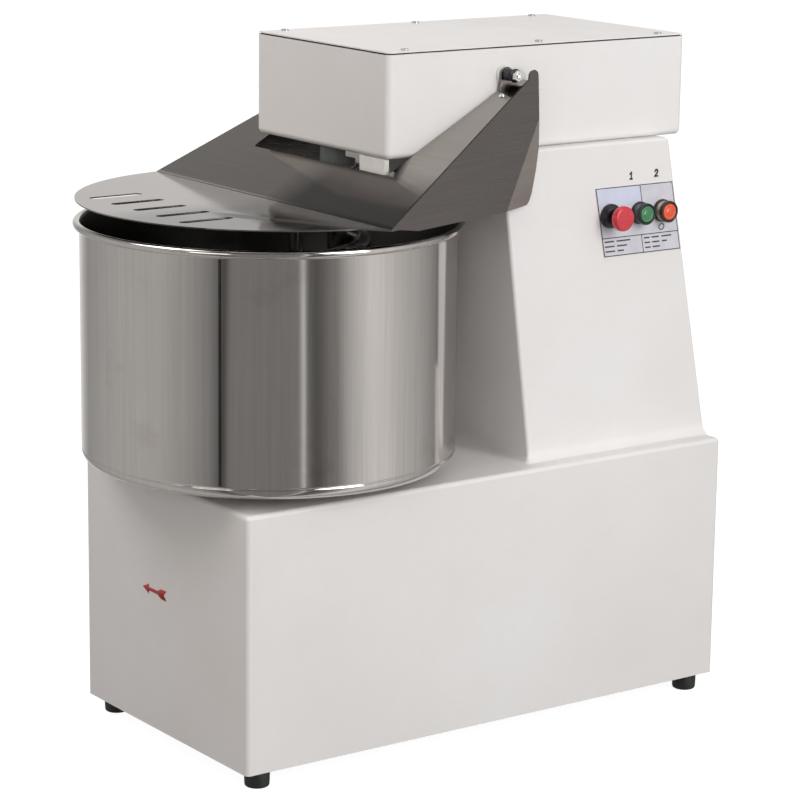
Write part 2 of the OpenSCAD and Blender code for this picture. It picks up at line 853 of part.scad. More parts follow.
module motor_fan_cover() {
    color(dark) translate([motor_x, motor_y, 0]) difference() {
        translate([0, 0, 166]) cylinder(r = motor_r - 5, h = motor_low - 166);
        translate([0, 0, 168]) cylinder(r = motor_r - 7, h = 50);
        for (a = [0:30:330]) rotate(a) translate([22, -2, 160]) cube([26, 4, 20]);
    }
}

module motor_rotor() {
    color(steel) translate([motor_x, motor_y, 0]) {
        translate([0, 0, 174]) cylinder(r = motor_shaft_r, h = gearbox_z + 40 - 174);
        translate([0, 0, 250]) cylinder(r = 33.3, h = 110);
        translate([0, 0, gearbox_z + 20])
            rotate(motor_angle + 180 + 180 / motor_teeth)
            gear(module_in, motor_teeth, 18, motor_shaft_r - 1);
        translate([0, 0, 178]) {
            cylinder(r = 18, h = 16);
            for (a = [0:60:300]) rotate(a) translate([10, -1, 0]) cube([40, 2, 16]);
        }
    }
}

// ---------- guard ----------

slots = 5;
slot_pitch = 50.5;
slot_l = 68;
plate_r = 245;
plate_y = bowl_y + 17;
widen_a = 12.5;
arc_steps = 60;

notch_y = head_front - 2;
arm_inner = head_side + arm_clear;
arm_end_y = fold_y + arm_len * cos(guard_slope);

// The sheet's outline, seen from above: round front, fold, two arms beside the head
module guard_outline() {
    arc = [for (i = [0:arc_steps])
        let (a = 180 + widen_a + i * (180 - 2 * widen_a) / arc_steps)
        [plate_r * cos(a), plate_y + plate_r * sin(a)]];
    difference() {
        polygon(concat(arc, [[guard_half_w, fold_y], [arm_end_w, arm_end_y],
            [arm_inner, arm_end_y], [arm_inner, notch_y], [-arm_inner, notch_y],
            [-arm_inner, arm_end_y], [-arm_end_w, arm_end_y], [-guard_half_w, fold_y]]));
        for (i = [0:slots - 1])
            translate([(i - (slots - 1) / 2) * slot_pitch, fold_y - 150])
                round_rect(9, slot_l, 4);
    }
}

// The sheet seen from the side: flat, then rising behind the fold
module guard_profile() {
    upright_t = guard_t / cos(guard_slope);
    rise = arm_len * sin(guard_slope);
    polygon([[fold_y - 300, guard_z], [fold_y, guard_z], [arm_end_y + 1, guard_z + rise],
        [arm_end_y + 1, guard_z + rise + upright_t],
        [fold_y + (guard_t - upright_t) / tan(guard_slope), guard_z + guard_t],
        [fold_y - 300, guard_z + guard_t]]);
}

module guard_sheet() {
    intersection() {
        translate([0, 0, guard_z - 50]) linear_extrude(300) guard_outline();
        rotate([90, 0, 90]) translate([0, 0, -300]) linear_extrude(600) guard_profile();
    }
}

wing_angle = atan((guard_half_w - arm_end_w) / (arm_len * cos(guard_slope)));
wing_l = arm_len * cos(guard_slope) / cos(wing_angle);
wing_low = 650 - guard_z;

// One side wing's outline, with s measured back from the fold and z up from the flat plate
module wing_outline() {
    rise = arm_len * sin(guard_slope);
    polygon([[2, -0.8], [3, 0.7], [wing_l, rise], [wing_l + 8, rise + 5], [wing_l + 20, rise + 5],
        [wing_l + 28, rise - 2], [wing_l + 30, 60], [wing_l + 22, 12], [wing_l + 12, wing_low],
        [50, wing_low], [12, -3.5]]);
}

module wing() {
    translate([guard_half_w, fold_y, guard_z + guard_t]) rotate(wing_angle + 90)
        translate([0, guard_t - weld, 0]) rotate([90, 0, 0]) linear_extrude(guard_t) wing_outline();
}

ear_t = 2.5;

// The ear that carries one hinge pin beside the head, standing on the rising plate
module guard_ear() {
    foot_a = [hinge_y - 18, guard_z + (hinge_y - 18 - fold_y) * tan(guard_slope) + 1];
    foot_b = [hinge_y + 12, guard_z + (hinge_y + 12 - fold_y) * tan(guard_slope) + 1];
    translate([arm_inner + weld, 0, 0]) rotate([90, 0, 90]) linear_extrude(ear_t - weld) difference() {
        polygon(concat([foot_a, foot_b],
            [for (a = [0:15:150]) [hinge_y + 11 * cos(a), hinge_z + 11 * sin(a)]]));
        translate([hinge_y, hinge_z]) circle(r = hinge_pin_r);
    }
}

module guard() {
    color(steel) {
        guard_sheet();
        for (side = [0, 1]) mirror([side, 0, 0]) {
            wing();
            guard_ear();
        }
    }
}

module hinge_pins() {
    color(dark) for (side = [0, 1]) mirror([side, 0, 0])
        translate([head_side - 12, hinge_y, hinge_z]) rotate([0, 90, 0]) {
            cylinder(r = hinge_pin_r, h = 12 + arm_clear + ear_t + 1);
            translate([0, 0, 12 + arm_clear + ear_t]) cylinder(r = 8, h = 7);
        }
}

module hinge_bushes() {
    color("ivory") for (side = [0, 1]) mirror([side, 0, 0])
        translate([head_side - 10, hinge_y, hinge_z]) rotate([0, 90, 0]) {
            ring(9, hinge_pin_r + fit, 10);
            ring(12, hinge_pin_r + fit, 8 - sheet);
            translate([0, 0, 10]) ring(12, hinge_pin_r + fit, 2);
        }
}

module guard_sensor() {
    color("white") translate([head_side - 59, head_front + 3, head_z - 20]) difference() {
        cube([51, 6, 20]);
        for (x = [8, 43]) translate([x, 3, -1]) cylinder(r = 1.4, h = 22, $fn = 24);
    }
}

// ---------- controls ----------

module control_label() {
    lean = atan(back_lean / (head_z - base_top));
    color("lavender") difference() {
        translate([column_side, 0, 0]) rotate([90, 0, 90]) linear_extrude(label_t)
            polygon([[207, 663], [329, 663], [329 + 86 * tan(lean), 577], [207 + 86 * tan(lean), 577]]);
        for (y = [estop_y, start_y, stop_y]) on_side(y, button_z)
            translate([0, 0, -10]) cylinder(r = 11.2, h = 20);
    }
}

bezel_r = 14;
bezel_h = 15;
estop_bezel_h = 10;
pocket_depth = 5.6;
pocket_z = label_t + bezel_h - pocket_depth;
mushroom_z = 18;
body_l = 26;
guide_r = 6;
pocket_r = 10.9;

// The fixed part of one switch: threaded tube, bezel and nut
module switch_body(bore_r, height) {
    difference() {
        union() {
            translate([0, 0, -body_l]) cylinder(r = 11, h = body_l + label_t + 1);
            translate([0, 0, label_t]) cylinder(r = bezel_r, h = 4);
            translate([0, 0, label_t]) cylinder(r = bezel_r - 1, h = height);
            translate([0, 0, -sheet - 5]) cylinder(r = 15, h = 5, $fn = 12);
        }
        translate([0, 0, -30]) cylinder(r = bore_r, h = 60);
    }
}

module button_bodies() {
    color(dark) for (y = [start_y, stop_y]) on_side(y, button_z) difference() {
        switch_body(guide_r, bezel_h);
        translate([0, 0, pocket_z]) cylinder(r = pocket_r, h = 20);
    }
}

module estop_body() {
    color(dark) on_side(estop_y, button_z) switch_body(7, estop_bezel_h);
}

module contact_blocks() {
    color("dimgray") for (y = [estop_y, start_y, stop_y]) on_side(y, button_z)
        translate([-13, -13, -body_l - 36]) difference() {
            cube([26, 26, 36]);
            for (x = [3, 23]) translate([x, 13, -1]) cylinder(r = 1.6, h = 4, $fn = 24);
        }
}

// One push button: face disc and guide stem
module cap() {
    face_z = pocket_z + button_travel + 0.4;
    translate([0, 0, face_z]) cylinder(r = pocket_r - gap, h = 3.4);
    translate([0, 0, -body_l + button_travel + 2]) cylinder(r = guide_r - fit,
        h = face_z + body_l - button_travel - 2);
}

module start_cap() {
    color("green") on_side(start_y, button_z) cap();
}

module stop_cap() {
    color("orangered") on_side(stop_y, button_z) cap();
}

module estop_stem() {
    color(dark) on_side(estop_y, button_z)
        translate([0, 0, -21]) cylinder(r = 7 - fit, h = mushroom_z + 21);
}

module estop_head() {
    color("red") on_side(estop_y, button_z) translate([0, 0, mushroom_z]) rotate_extrude() {
        square([9, 4]);
        translate([0, 3]) square([13, 11]);
        translate([0, 5]) square([15.5, 6.5]);
        translate([13, 11.5]) intersection() {
            circle(r = 2.5);
            square([3, 3]);
        }
        translate([13, 5]) intersection() {
            circle(r = 2.5);
            translate([0, -3]) square([3, 3]);
        }
    }
}

module electrical_box() {
    color("lightgray") difference() {
        translate([-cross_w / 2, back_y - 136, 44]) cube([73, 120, 150]);
        translate([-cross_w / 2 + 3, back_y - 133, 47]) cube([67, 114, 144]);
        at_gland() translate([0, 0, -90]) cylinder(r = 8, h = 60);
    }
}

module cable_gland() {
    color(dark) at_gland() difference() {
        union() {
            translate([0, 0, -14]) cylinder(r = 10, h = 20);
            cylinder(r = 14, h = 6, $fn = 6);
            translate([0, 0, -sheet - 5]) cylinder(r = 14, h = 5, $fn = 6);
            translate([0, 0, 6]) cylinder(r = 11, h = 12);
        }
        translate([0, 0, -20]) cylinder(r = 5.5, h = 50);
    }
}

base_shell();
base_floor();
rubber_feet();
foot_bolts();
chassis_plates();
hub_plate();
lower_crossmember();
gearbox_shelf();
head_plate();
column_shell();
rear_panel();
rear_panel_screws();
head_shell();
cover_seal();
top_cover();
cover_screws();
bowl_bearing_housing();
bowl_bearings();
shaft_seals();
spiral_bearing_housing();
spiral_bearings();
main_shaft_bearings();
gearbox_housing();
gearbox_cover();
small_bearings();
motor_housing();
motor_stator();
motor_fan_cover();
head_chain();
bowl_chain();
breaker_bar();
frame_bolts();
control_label();
button_bodies();
contact_blocks();
estop_body();
electrical_box();
cable_gland();
guard_sensor();
hinge_bushes();
bowl();
bowl_base_plate();
bowl_shaft();
bowl_sprocket();
spiral_tool();
spiral_shaft();
spiral_sprocket();
main_shaft();
output_gear();
bowl_drive_sprocket();
head_drive_sprocket();
layshaft();
motor_rotor();
guard();
hinge_pins();
estop_stem();
estop_head();
start_cap();
stop_cap();
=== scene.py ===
"""Looks of the spiral dough mixer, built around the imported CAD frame. Metres, +Z up."""

import json
import math

import bmesh
import bpy
from mathutils import Matrix, Vector
from mathutils.geometry import delaunay_2d_cdt


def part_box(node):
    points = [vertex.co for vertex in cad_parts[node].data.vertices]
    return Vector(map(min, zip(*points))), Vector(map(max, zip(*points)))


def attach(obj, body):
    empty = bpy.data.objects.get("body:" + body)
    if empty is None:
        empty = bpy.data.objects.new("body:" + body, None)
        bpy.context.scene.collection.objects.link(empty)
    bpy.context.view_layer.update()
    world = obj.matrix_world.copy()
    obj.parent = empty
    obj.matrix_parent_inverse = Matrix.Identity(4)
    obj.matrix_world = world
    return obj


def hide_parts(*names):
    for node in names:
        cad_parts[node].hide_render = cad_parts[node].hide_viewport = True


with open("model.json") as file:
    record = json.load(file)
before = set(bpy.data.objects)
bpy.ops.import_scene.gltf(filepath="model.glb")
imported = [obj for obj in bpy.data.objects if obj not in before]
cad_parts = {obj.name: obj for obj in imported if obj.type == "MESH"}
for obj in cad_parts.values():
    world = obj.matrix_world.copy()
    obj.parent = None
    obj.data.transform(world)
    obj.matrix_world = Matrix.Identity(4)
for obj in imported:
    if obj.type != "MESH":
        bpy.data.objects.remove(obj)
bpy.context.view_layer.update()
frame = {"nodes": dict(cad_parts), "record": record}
MM = 0.001
ROOT = "machine_frame"


def lo(node):
    return Vector(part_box(node)[0])


def hi(node):
    return Vector(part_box(node)[1])


# ---------------------------------------------------------------- materials


class Graph:
    """Adds and links nodes in one node tree."""

    def __init__(self, tree):
        self.tree = tree

    def add(self, kind, **props):
        node = self.tree.nodes.new(kind)
        for key, value in props.items():
            setattr(node, key, value)
        return node

    def link(self, a, b):
        self.tree.links.new(a, b)

    def ramp(self, fac, stops):
        node = self.add("ShaderNodeValToRGB")
        elements = node.color_ramp.elements
        while len(elements) < len(stops):
            elements.new(0.5)
        for element, (pos, value) in zip(elements, stops):
            element.position = pos
            rgb = (value,) * 3 if isinstance(value, (int, float)) else value
            element.color = (*rgb, 1)
        self.link(fac, node.inputs["Fac"])
        return node.outputs["Color"]

    def math(self, op, a, b=0.0):
        node = self.add("ShaderNodeMath", operation=op)
        for socket, value in zip(node.inputs, (a, b)):
            if isinstance(value, (int, float)):
                socket.default_value = value
            else:
                self.link(value, socket)
        return node.outputs[0]

    def mix(self, fac, a, b, blend="MIX"):
        node = self.add("ShaderNodeMix", data_type="RGBA", blend_type=blend)
        for socket, value in ((node.inputs[0], fac), (node.inputs[6], a), (node.inputs[7], b)):
            if isinstance(value, (int, float)):
                socket.default_value = value
            elif isinstance(value, tuple):
                socket.default_value = (*value, 1) if len(value) == 3 else value
            else:
                self.link(value, socket)
        return node.outputs[2]


class Nodes(Graph):
    """Builds one node material, or adds to a finished one."""

    def __init__(self, name, mat=None):
        self.mat = mat or bpy.data.materials.new(name)
        self.mat.use_nodes = True
        super().__init__(self.mat.node_tree)
        self.bsdf = self.tree.nodes["Principled BSDF"]
        self.coords = self.add("ShaderNodeTexCoord").outputs["Object"]

    def stretched(self, scale):
        mapping = self.add("ShaderNodeMapping")
        mapping.inputs["Scale"].default_value = scale
        self.link(self.coords, mapping.inputs["Vector"])
        return mapping.outputs["Vector"]

    def noise(self, scale, detail=4.0, stretch=None, rough=0.55):
        node = self.add("ShaderNodeTexNoise")
        node.inputs["Scale"].default_value = scale
        node.inputs["Detail"].default_value = detail
        node.inputs["Roughness"].default_value = rough
        self.link(self.stretched(stretch) if stretch else self.coords, node.inputs["Vector"])
        return node.outputs["Fac"]

    def bump(self, height, strength, distance):
        node = self.add("ShaderNodeBump")
        node.inputs["Strength"].default_value = strength
        node.inputs["Distance"].default_value = distance
        self.link(height, node.inputs["Height"])
        self.link(node.outputs["Normal"], self.bsdf.inputs["Normal"])

    def edge(self, low=0.52, high=0.6):
        geo = self.add("ShaderNodeNewGeometry")
        return self.ramp(geo.outputs["Pointiness"], [(low, 0.0), (high, 1.0)])

    def set(self, **values):
        for key, value in values.items():
            self.bsdf.inputs[key.replace("_", " ")].default_value = value

    def colour(self, socket):
        self.link(socket, self.bsdf.inputs["Base Color"])

    def rough(self, socket):
        self.link(socket, self.bsdf.inputs["Roughness"])


def paint(name, rgb, dirt=0.06):
    n = Nodes(name)
    n.set(IOR=1.46)
    blotch = n.noise(3.2, 5)
    fine = n.noise(70, 3)
    dark = tuple(c * (1 - dirt) * (1 - 0.02 * i) for i, c in enumerate(rgb))
    base = n.mix(n.ramp(blotch, [(0.35, 0.0), (0.68, 1.0)]), rgb, dark)
    base = n.mix(n.math("MULTIPLY", n.ramp(fine, [(0.45, 0.0), (0.7, 1.0)]), 0.25), base, dark)
    # painted highlight: convex edges are lightened towards near-white
    n.colour(n.mix(n.math("MULTIPLY", n.edge(0.55, 0.68), 0.25), base, (0.95, 0.94, 0.93)))
    n.rough(n.ramp(n.noise(22, 4), [(0.3, 0.30), (0.75, 0.44)]))
    n.bump(n.math("ADD", n.noise(420, 2), n.math("MULTIPLY", n.noise(9, 3), 0.6)), 0.06, 0.0006)
    return n.mat


def steel(name, rgb, grain, rough=(0.18, 0.30), bump=0.05, stain=0.0):
    """Brushed sheet: grain is the noise stretch per axis, small along the brushing."""
    n = Nodes(name)
    n.set(Metallic=1.0)
    lines = n.noise(1.0, 6, stretch=grain, rough=0.7)
    cloud = n.noise(7.0, 4)
    dark = tuple(c * 0.86 for c in rgb)
    base = n.mix(n.ramp(lines, [(0.3, 0.0), (0.7, 1.0)]), dark, rgb)
    base = n.mix(n.ramp(cloud, [(0.4, 0.0), (0.75, 0.35)]), base, tuple(c * 0.8 for c in rgb))
    if stain:
        spots = n.ramp(n.noise(11.0, 5), [(0.60, 0.0), (0.74, 1.0)])
        base = n.mix(n.math("MULTIPLY", spots, stain), base, (0.34, 0.25, 0.18))
    n.colour(base)
    mixed = n.math("ADD", n.math("MULTIPLY", lines, 0.6), n.math("MULTIPLY", cloud, 0.4))
    n.rough(n.ramp(mixed, [(0.3, rough[0]), (0.72, rough[1])]))
    n.bump(lines, bump, 0.0004)
    return n.mat


def paint_dark_reflection(mat, strength=0.80):
    """Painted reflection: darkens the base colour on the fold's right half, in front of the head, where the
    sheet mirrors the head's shade and the dark gap below it.
    """
    n = Nodes(mat.name, mat)
    split = n.add("ShaderNodeSeparateXYZ")
    n.link(n.coords, split.inputs[0])
    cloud = n.math("MULTIPLY", n.noise(9.0, 4), 0.06)
    across = n.math("ADD", split.outputs["X"], cloud)
    along = n.math("ADD", split.outputs["Y"], cloud)
    right_half = n.ramp(n.math("MULTIPLY", across, 4.0), [(0.08, 0.0), (0.30, 1.0)])
    before_head = n.ramp(n.math("MULTIPLY", along, -5.0), [(0.22, 0.0), (0.50, 1.0)])
    reflection_mask = n.math("MULTIPLY", n.math("MULTIPLY", right_half, before_head), strength)
    base = n.bsdf.inputs["Base Color"].links[0].from_socket
    # painted reflection: the masked part of the sheet turns near black
    n.colour(n.mix(reflection_mask, base, (0.045, 0.040, 0.038)))
    return mat


def machined(name, rgb, rough=(0.22, 0.38)):
    n = Nodes(name)
    n.set(Metallic=1.0)
    fine = n.noise(260, 4)
    n.colour(n.mix(n.ramp(n.noise(30, 4), [(0.35, 0.0), (0.7, 1.0)]), rgb, tuple(c * 0.72 for c in rgb)))
    n.rough(n.ramp(fine, [(0.3, rough[0]), (0.7, rough[1])]))
    n.bump(fine, 0.05, 0.0002)
    return n.mat


def casting(name, rgb):
    n = Nodes(name)
    n.set(Metallic=0.0)
    grit = n.noise(340, 5)
    worn = n.math("MULTIPLY", n.edge(0.54, 0.66), 0.6)
    base = n.mix(n.ramp(n.noise(14, 5), [(0.35, 0.0), (0.7, 1.0)]), rgb, tuple(c * 0.65 for c in rgb))
    n.colour(n.mix(worn, base, (0.42, 0.42, 0.42)))
    n.rough(n.ramp(grit, [(0.3, 0.5), (0.7, 0.72)]))
    n.bump(grit, 0.22, 0.0005)
    return n.mat


def plastic(name, rgb, rough=(0.3, 0.42), grain=600, bump=0.05, coat=0.0):
    n = Nodes(name)
    n.set(IOR=1.5, Coat_Weight=coat, Coat_Roughness=0.08)
    fine = n.noise(grain, 3)
    light = tuple(min(1, c * 1.25 + 0.01) for c in rgb)
    base = n.mix(n.ramp(n.noise(60, 4), [(0.35, 0.0), (0.7, 0.7)]), rgb, tuple(c * 0.82 for c in rgb))
    n.colour(n.mix(n.math("MULTIPLY", n.edge(0.55, 0.7), 0.5), base, light))
    n.rough(n.ramp(fine, [(0.3, rough[0]), (0.7, rough[1])]))
    n.bump(fine, bump, 0.0003)
    return n.mat


WHITE = (0.80, 0.793, 0.80)
STEEL = (0.56, 0.535, 0.51)
MATS = {
    "white_paint": paint("white_paint", WHITE),
    "stainless": steel("stainless", STEEL, (6, 6, 240)),
    "machined_steel": machined("machined_steel", (0.55, 0.55, 0.56)),
    "frame_iron": casting("frame_iron", (0.11, 0.115, 0.12)),
    "black_rubber": plastic("black_rubber", (0.012, 0.016, 0.014), (0.5, 0.68), 420, 0.12),
    "black_plastic": plastic("black_plastic", (0.016, 0.014, 0.02), (0.28, 0.42)),
    "grey_plastic": plastic("grey_plastic", (0.32, 0.33, 0.34)),
    "white_plastic": plastic("white_plastic", (0.78, 0.77, 0.74), (0.3, 0.45)),
    "red_plastic": plastic("red_plastic", (0.62, 0.025, 0.045), (0.22, 0.34), coat=0.4),
    "green_plastic": plastic("green_plastic", (0.045, 0.22, 0.085), (0.25, 0.36), coat=0.3),
    "orange_plastic": plastic("orange_plastic", (0.80, 0.10, 0.03), (0.25, 0.36), coat=0.3),
    "label_film": plastic("label_film", (0.64, 0.635, 0.70), (0.3, 0.4), 300, 0.02),
    "copper_iron": machined("copper_iron", (0.45, 0.22, 0.10), (0.35, 0.5)),
}
SLOT_OF = {part["node"]: part["material_slot"] for part in frame["record"]["subparts"]}
for node, obj in frame["nodes"].items():
    obj.data.materials.clear()
    obj.data.materials.append(MATS[SLOT_OF[node]])

BOWL_MAT = steel("bowl_steel", (0.61, 0.582, 0.558), (190, 190, 3), (0.07, 0.13), 0.008, stain=0.30)
# the guard steel carries a painted dark reflection on its right half
GUARD_MAT = paint_dark_reflection(steel("guard_steel", (0.35, 0.325, 0.305), (5, 260, 260), (0.07, 0.13), 0.008))
# painted light: a lighter copy of the guard steel for the leaning flap, standing in for its brighter
# reflection
FLAP_LIT_MAT = steel("flap_steel_lit", (0.40, 0.36, 0.335), (5, 5, 260), (0.34, 0.46), 0.012)
# painted shade: a near-black copy of the bowl steel for the bowl's inside, which lies under the guard
BOWL_INNER_SHADE = steel("bowl_inner_painted_shade", (0.085, 0.083, 0.08), (190, 190, 3), (0.30, 0.42), 0.008)
# painted shade: a darker copy of the guard steel for the side wings
WING_SHADED_MAT = steel("wing_steel_shaded", (0.215, 0.195, 0.185), (5, 5, 260), (0.22, 0.34), 0.012)
INK = plastic("dark_ink", (0.03, 0.028, 0.035), (0.4, 0.5), 300, 0.02)
RED_INK = plastic("red_ink", (0.55, 0.02, 0.03), (0.35, 0.45), 300, 0.02)
BRIGHT = machined("bright_zinc", (0.78, 0.78, 0.76), (0.15, 0.28))


# ---------------------------------------------------------------- mesh helpers


def piece(name, verts, faces, mat, body=ROOT, slot=None, replaces=(), smooth=True):
    mesh = bpy.data.meshes.new(name)
    mesh.from_pydata([tuple(v) for v in verts], [], faces)
    mesh.update()
    obj = bpy.data.objects.new(name, mesh)
    bpy.context.scene.collection.objects.link(obj)
    mesh.materials.append(mat)
    if smooth:
        mesh.polygons.foreach_set("use_smooth", [True] * len(mesh.polygons))
    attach(obj, body)
    if replaces:
        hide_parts(*replaces)
    return obj


def bevel(obj, width, segments=3, angle=30, harden=True):
    mod = obj.modifiers.new("bevel", "BEVEL")
    mod.width = width
    mod.segments = segments
    mod.limit_method = "ANGLE"
    mod.angle_limit = math.radians(angle)
    mod.harden_normals = harden


def thicken(obj, depth):
    mod = obj.modifiers.new("thickness", "SOLIDIFY")
    mod.thickness = depth
    mod.offset = -1.0
    mod.use_even_offset = True


def apply_all(obj):
    """Bakes the modifiers into the mesh, so the piece is plain geometry."""
    deps = bpy.context.evaluated_depsgraph_get()
    mesh = bpy.data.meshes.new_from_object(obj.evaluated_get(deps), depsgraph=deps)
    obj.modifiers.clear()
    obj.data = mesh


def lathe(name, profile, mat, centre, axis="Z", steps=96, **kw):
    """Turns (radius, height) pairs round an axis through centre; a radius of 0 closes the end."""
    verts, faces, rows = [], [], []
    for r, h in profile:
        if r < 1e-7:
            rows.append([len(verts)])
            verts.append((0, 0, h))
            continue
        rows.append(list(range(len(verts), len(verts) + steps)))
        for i in range(steps):
            a = 2 * math.pi * i / steps
            verts.append((r * math.cos(a), r * math.sin(a), h))
    for a, b in zip(rows, rows[1:]):
        for i in range(steps):
            j = (i + 1) % steps
            quad = [a[i % len(a)], a[j % len(a)], b[j % len(b)], b[i % len(b)]]
            quad = list(dict.fromkeys(quad))
            if len(quad) > 2:
                faces.append(quad)
    turn = {"Z": Matrix(), "X": Matrix.Rotation(math.pi / 2, 4, "Y"),
            "-X": Matrix.Rotation(-math.pi / 2, 4, "Y")}[axis]
    move = Matrix.Translation(centre) @ turn
    return piece(name, [move @ Vector(v) for v in verts], faces, mat, **kw)


def arc(cx, cy, r, a0, a1, n):
    return [(cx + r * math.cos(math.radians(a0 + (a1 - a0) * i / n)),
             cy + r * math.sin(math.radians(a0 + (a1 - a0) * i / n))) for i in range(n + 1)]


def prism(name, outline, z0, z1, mat, frame_of, bevel_w=0.0, **kw):
    """Extrudes an outline in a plane; frame_of maps (u, v, w) to a point."""
    n = len(outline)
    verts = [frame_of(u, v, w) for w in (z0, z1) for u, v in outline]
    faces = [list(range(n))[::-1], list(range(n, 2 * n))]
    faces += [[i, (i + 1) % n, n + (i + 1) % n, n + i] for i in range(n)]
    obj = piece(name, verts, faces, mat, **kw)
    tidy(obj)
    if bevel_w:
        bevel(obj, bevel_w, 2)
        apply_all(obj)
    return obj


def tidy(obj):
    """Merges doubled points and turns all faces outwards."""
    bm = bmesh.new()
    bm.from_mesh(obj.data)
    bmesh.ops.remove_doubles(bm, verts=bm.verts, dist=1e-6)
    bmesh.ops.recalc_face_normals(bm, faces=bm.faces)
    bm.to_mesh(obj.data)
    bm.free()


def side(u, v, w):
    """Row Y, row Z and distance out from the column's control side."""
    return (hi("column_shell").x + w, u, v)


# ---------------------------------------------------------------- painted casings


def casing(name, rings, mat, node, width, segments=4, caps=(True, True), **kw):
    """A box-like casing lofted through rings of four corners from bottom to top."""
    verts = [p for ring in rings for p in ring]
    faces = []
    for k in range(len(rings) - 1):
        for i in range(4):
            j = (i + 1) % 4
            faces.append([4 * k + i, 4 * k + j, 4 * k + 4 + j, 4 * k + 4 + i])
    if caps[0]:
        faces.append([3, 2, 1, 0])
    if caps[1]:
        top = 4 * (len(rings) - 1)
        faces.append([top, top + 1, top + 2, top + 3])
    obj = piece(name, verts, faces, mat, replaces=(node,), slot="white_paint", **kw)
    tidy(obj)
    bevel(obj, width, segments, 25)
    apply_all(obj)
    return obj


def ring(x, y0, y1, z):
    return [(-x, y0, z), (x, y0, z), (x, y1, z), (-x, y1, z)]


BASE_LO, BASE_HI = lo("base_shell"), hi("base_shell")
casing("base_casing", [ring(BASE_HI.x, BASE_LO.y, BASE_HI.y, z) for z in (BASE_LO.z, BASE_HI.z)],
       MATS["white_paint"], "base_shell", 0.0055, 5, caps=(False, True))

COL_LO, COL_HI = lo("column_shell"), hi("column_shell")
LEAN_F, LEAN_B, LEAN_RISE = 0.050, 0.076, 0.385
COLUMN_FOOT = 0.285


def column_ring(z, out=0.0):
    t = (z - COL_LO.z) / (COL_HI.z - COL_LO.z)
    front = COL_HI.y - COLUMN_FOOT - LEAN_F * t
    back = COL_HI.y - LEAN_B * t
    return ring(COL_HI.x + out, front - out, back + min(out, 0), z)


casing("column_casing",
       [column_ring(COL_LO.z, 0.007), column_ring(COL_LO.z + 0.0025, 0.0035),
        column_ring(COL_LO.z + 0.007, 0.0012), column_ring(COL_LO.z + 0.014, 0.0),
        column_ring(COL_HI.z)],
       MATS["white_paint"], "column_shell", 0.006, 4, caps=(False, True))

HEAD_LO, HEAD_HI = lo("head_shell"), hi("head_shell")
casing("head_casing", [ring(HEAD_HI.x, HEAD_LO.y, HEAD_HI.y, z) for z in (HEAD_LO.z, HEAD_HI.z)],
       MATS["white_paint"], "head_shell", 0.0075, 6, caps=(True, False))


# ---------------------------------------------------------------- bowl

BOWL_C = (lo("bowl") + hi("bowl")) / 2
BOWL_Z0, BOWL_Z1 = lo("bowl").z, hi("bowl").z
R = hi("bowl").x - 0.009
WALL = 0.002
RIM_Z = BOWL_Z1 - 0.0095
outer = [(0, BOWL_Z0 - 0.0015), (R - 0.013, BOWL_Z0 - 0.0015)]
outer += arc(R - 0.013, BOWL_Z0 + 0.0115, 0.013, -90, -6, 8)[1:]
outer += [(R - 0.0002, BOWL_Z0 + 0.0115), (R - 0.0016, BOWL_Z0 + 0.0122), (R - 0.0002, BOWL_Z0 + 0.0130),
          (R, BOWL_Z0 + 0.0145), (R, RIM_Z - 0.0062), (R + 0.0004, RIM_Z - 0.0052)]
outer += arc(R + 0.0032, RIM_Z, 0.0046, 250, 525, 20)
inner = [(R - WALL, RIM_Z), (R - WALL, BOWL_Z0 + 0.018)]
inner += arc(R - 0.016, BOWL_Z0 + 0.018, 0.014, 0, -90, 8)[1:] + [(0, BOWL_Z0 + 0.004)]
bowl = lathe("bowl_shell", outer + inner, BOWL_MAT, (BOWL_C.x, BOWL_C.y, 0), steps=192,
             body="bowl_body", replaces=("bowl",), slot="stainless")
tidy(bowl)
bowl.data.materials.append(BOWL_INNER_SHADE)
# the inward-facing wall and the floor of the bowl take the painted shade
for poly in bowl.data.polygons:
    away = Vector((poly.center.x - BOWL_C.x, poly.center.y - BOWL_C.y))
    facing_in = away.dot(poly.normal.to_2d()) < -0.5 * away.length or poly.normal.z > 0.9
    if facing_in and away.length < R - 0.0005:
        poly.material_index = 1


def bowl_strip(name, azimuth, width, proud, mat):
    """A narrow upright band on the bowl's wall, such as its weld seam."""
    half = width / 2 / R
    a = [math.radians(azimuth) + half * k for k in (-1, -0.4, 0.4, 1)]
    out = [0.0, proud, proud, 0.0]
    levels = [BOWL_Z0 + 0.015 + (RIM_Z - 0.007 - BOWL_Z0 - 0.015) * k / 12 for k in range(13)]
    verts = [(BOWL_C.x + (R + o) * math.cos(b), BOWL_C.y + (R + o) * math.sin(b), z)
             for z in levels for b, o in zip(a, out)]
    faces = [[4 * k + i, 4 * k + i + 1, 4 * k + i + 5, 4 * k + i + 4] for k in range(12) for i in range(3)]
    return piece(name, verts, faces, mat, body="bowl_body")


SEAM_MAT = machined("weld_seam", (0.055, 0.052, 0.052), (0.35, 0.5))
bowl_strip("bowl_seam", -47.3, 0.0034, 0.0003, SEAM_MAT)


# ---------------------------------------------------------------- guard

FOLD_Y, GUARD_Z = -0.1655, lo("guard").z + 0.011
HALF_W, ARM_W, SLOPE, ARM_L = hi("guard").x - 0.0004, 0.168, math.radians(28.9), 0.292
ARM_IN = HEAD_HI.x + 0.0035
NOTCH_V = (HEAD_LO.y - FOLD_Y - 0.002) / math.cos(SLOPE)


def on_slope(x, v):
    return (x, FOLD_Y + v * math.cos(SLOPE), GUARD_Z + v * math.sin(SLOPE))


def on_plate(x, y):
    return (x, y, GUARD_Z)


